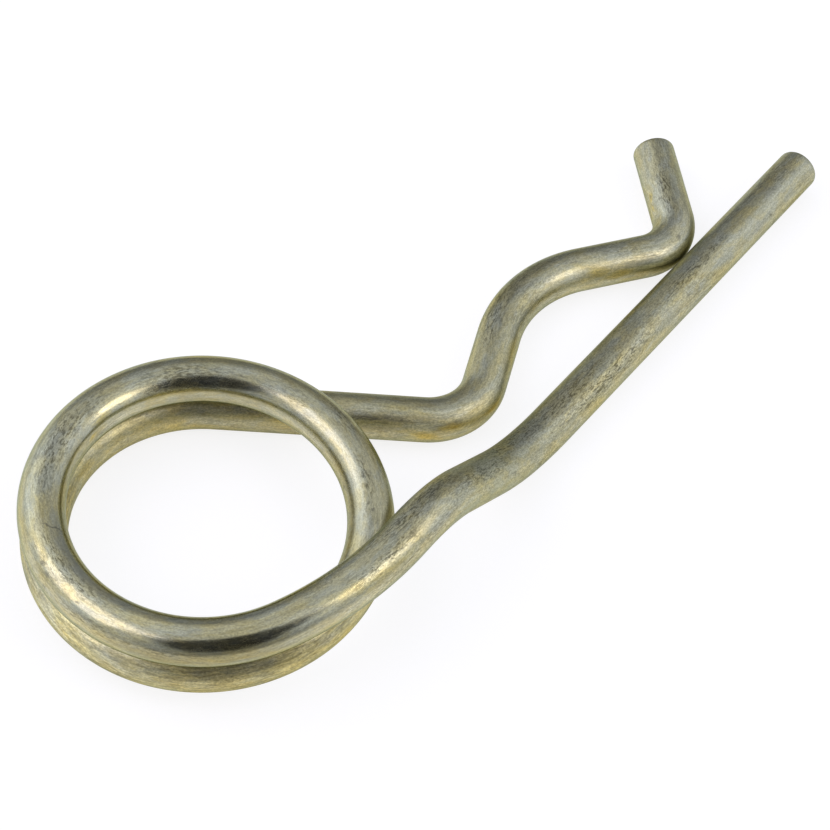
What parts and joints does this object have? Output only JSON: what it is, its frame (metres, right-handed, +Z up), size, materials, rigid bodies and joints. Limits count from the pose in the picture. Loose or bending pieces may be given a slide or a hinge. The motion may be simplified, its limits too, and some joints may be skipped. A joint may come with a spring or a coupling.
{
  "type": "hitch clip pin",
  "caption": "Spring clip of bent round wire with a coiled eye, a straight leg that goes through a shaft's cross hole and a wavy leg that grips the outside.",
  "frame": {"origin": "on the surface that the clip lies on, under the middle of the coil's eye", "axes": "+X along the straight leg towards its tip, +Z up out of the plane of the legs, +Y from the straight leg towards the wavy leg's side"},
  "size_m": [0.1084, 0.0408, 0.0144],
  "materials": {
    "plated_wire": "zinc plated spring steel with a pale yellow-green chromate film, satin, with fine grey mottling and drawn streaks"
  },
  "bodies": {
    "root": {"clip_wire": "plated_wire"}
  },
  "joints": []
}
